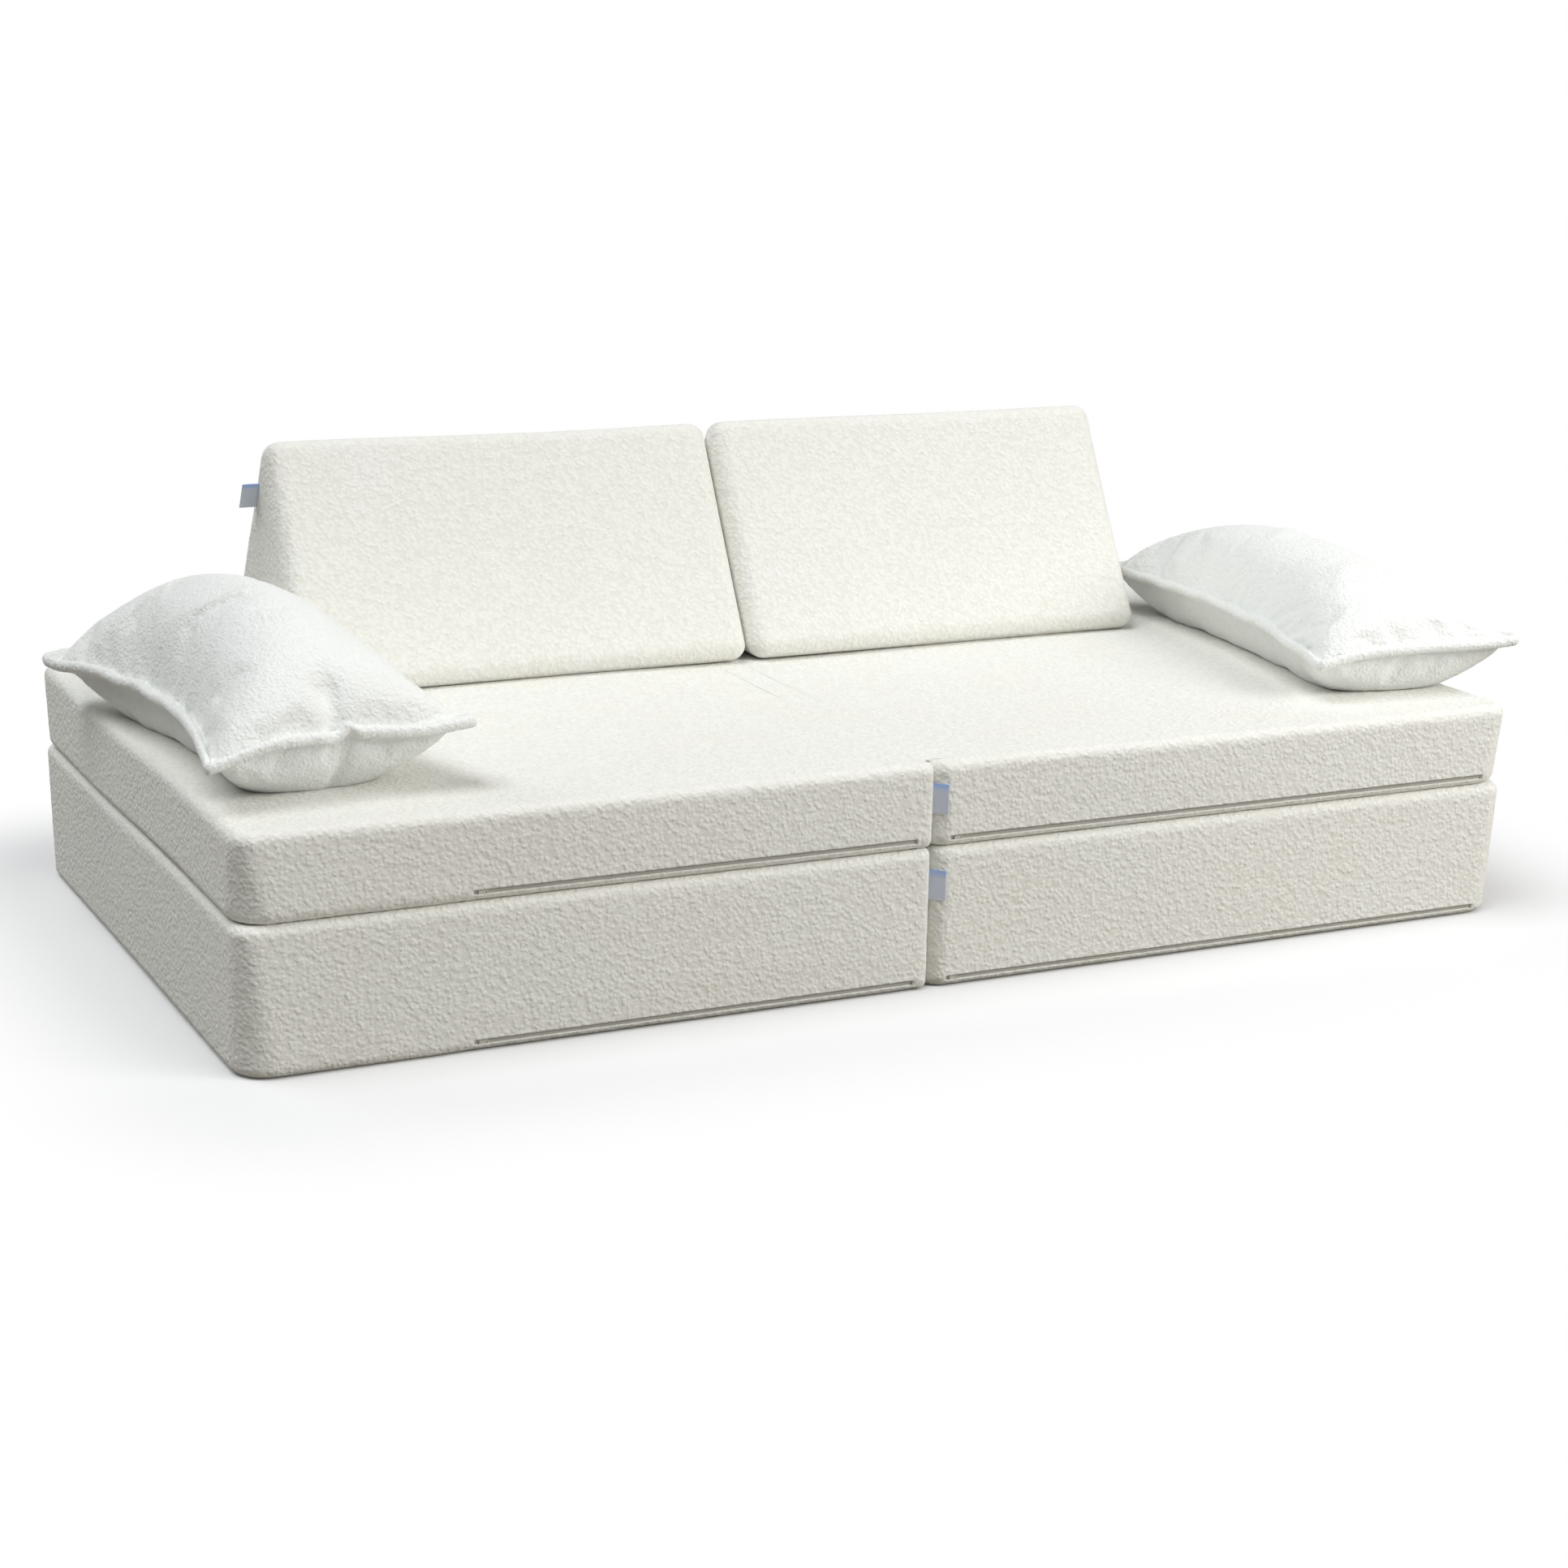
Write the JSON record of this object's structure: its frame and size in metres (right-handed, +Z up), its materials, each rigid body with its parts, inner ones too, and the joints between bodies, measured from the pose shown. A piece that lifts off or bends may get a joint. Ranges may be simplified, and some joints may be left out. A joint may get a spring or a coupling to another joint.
{
  "type": "modular foam play sofa",
  "caption": "Modular foam play sofa: a folding base and a folding seat mattress, back wedges and loose pillows, in zipped cream boucle covers.",
  "frame": {"origin": "on the floor, under the middle of the whole sofa with its pillows; the fold line stands 40 mm to the left of it", "axes": "+X along the sofa to the right as seen from the front, -Y the way the front looks, +Z up"},
  "size_m": [1.864, 0.8864, 0.5724],
  "materials": {
    "cover": "cream boucle",
    "pillow_cover": "cool white boucle",
    "foam": "open-cell foam",
    "fibre": "fibre filling",
    "zip_tape": "woven tape with covered teeth",
    "zip_slider": "matt",
    "label": "pale blue woven, bare"
  },
  "bodies": {
    "base_left": {"base_left_foam": "foam", "base_left_side_band": "cover", "base_left_top_panel": "cover", "base_left_bottom_panel": "cover", "base_left_zip_tape": "zip_tape", "base_fold_strip": "cover"},
    "base_left_slider": {"base_left_zip_slider": "zip_slider"},
    "base_right": {"base_right_foam": "foam", "base_right_side_band": "cover", "base_right_top_panel": "cover", "base_right_bottom_panel": "cover", "base_right_zip_tape": "zip_tape", "base_right_label": "label"},
    "base_right_slider": {"base_right_zip_slider": "zip_slider"},
    "seat_left": {"seat_left_foam": "foam", "seat_left_side_band": "cover", "seat_left_top_panel": "cover", "seat_left_bottom_panel": "cover", "seat_left_zip_tape": "zip_tape", "seat_fold_strip": "cover"},
    "seat_left_slider": {"seat_left_zip_slider": "zip_slider"},
    "seat_right": {"seat_right_foam": "foam", "seat_right_side_band": "cover", "seat_right_top_panel": "cover", "seat_right_bottom_panel": "cover", "seat_right_zip_tape": "zip_tape", "seat_right_label": "label"},
    "seat_right_slider": {"seat_right_zip_slider": "zip_slider"},
    "wedge_left": {"wedge_left_foam": "foam", "wedge_left_cover_wrap": "cover", "wedge_left_left_gusset": "cover", "wedge_left_right_gusset": "cover", "wedge_left_bottom_panel": "cover", "wedge_left_zip_tape": "zip_tape", "wedge_left_label": "label"},
    "wedge_left_slider": {"wedge_left_zip_slider": "zip_slider"},
    "wedge_right": {"wedge_right_foam": "foam", "wedge_right_cover_wrap": "cover", "wedge_right_left_gusset": "cover", "wedge_right_right_gusset": "cover", "wedge_right_bottom_panel": "cover", "wedge_right_zip_tape": "zip_tape"},
    "wedge_right_slider": {"wedge_right_zip_slider": "zip_slider"},
    "pillow_left": {"pillow_left_insert": "fibre", "pillow_left_upper_cover": "pillow_cover", "pillow_left_lower_cover": "pillow_cover", "pillow_left_flange": "pillow_cover", "pillow_left_zip_tape": "zip_tape"},
    "pillow_right": {"pillow_right_insert": "fibre", "pillow_right_upper_cover": "pillow_cover", "pillow_right_lower_cover": "pillow_cover", "pillow_right_flange": "pillow_cover", "pillow_right_zip_tape": "zip_tape"}
  },
  "joints": [
    {"name": "base_fold", "type": "hinge", "parent": "base_left", "child": "base_right", "pos_m": [-0.04, 0, 0.176], "axis": [0, -1, 0], "range_deg": [0, 180], "deforming": ["base_fold_strip"]},
    {"name": "seat_lift", "type": "slide", "parent": "base_left", "child": "seat_left", "axis": [0, 0, 1], "range_m": [0, 2.671]},
    {"name": "seat_fold", "type": "hinge", "parent": "seat_left", "child": "seat_right", "pos_m": [-0.04, 0, 0.279], "axis": [0, -1, 0], "range_deg": [0, 180], "deforming": ["seat_fold_strip"]},
    {"name": "wedge_left_lift", "type": "slide", "parent": "seat_left", "child": "wedge_left", "axis": [0, 0, 1], "range_m": [0, 2.671]},
    {"name": "wedge_right_lift", "type": "slide", "parent": "seat_left", "child": "wedge_right", "axis": [0, 0, 1], "range_m": [0, 2.671]},
    {"name": "pillow_left_lift", "type": "slide", "parent": "wedge_left", "child": "pillow_left", "axis": [0, 0, 1], "range_m": [0, 0.4]},
    {"name": "pillow_right_lift", "type": "slide", "parent": "wedge_right", "child": "pillow_right", "axis": [0, 0, 1], "range_m": [0, 0.4]},
    {"name": "base_left_zip", "type": "slide", "parent": "base_left", "child": "base_left_slider", "axis": [1, 0, 0], "range_m": [0, 0.52]},
    {"name": "base_right_zip", "type": "slide", "parent": "base_right", "child": "base_right_slider", "axis": [1, 0, 0], "range_m": [0, 0.75]},
    {"name": "seat_left_zip", "type": "slide", "parent": "seat_left", "child": "seat_left_slider", "axis": [1, 0, 0], "range_m": [0, 0.52]},
    {"name": "seat_right_zip", "type": "slide", "parent": "seat_right", "child": "seat_right_slider", "axis": [1, 0, 0], "range_m": [0, 0.75]},
    {"name": "wedge_left_zip", "type": "slide", "parent": "wedge_left", "child": "wedge_left_slider", "axis": [-1, 0, 0], "range_m": [0, 0.465]},
    {"name": "wedge_right_zip", "type": "slide", "parent": "wedge_right", "child": "wedge_right_slider", "axis": [-1, 0, 0], "range_m": [0, 0.455]}
  ],
  "couplings": [
    {"joint": "seat_lift", "follows": "base_fold", "m_per_rad": 0.85},
    {"joint": "wedge_left_lift", "follows": "seat_fold", "m_per_rad": 0.85},
    {"joint": "wedge_right_lift", "follows": "seat_fold", "m_per_rad": 0.85}
  ]
}
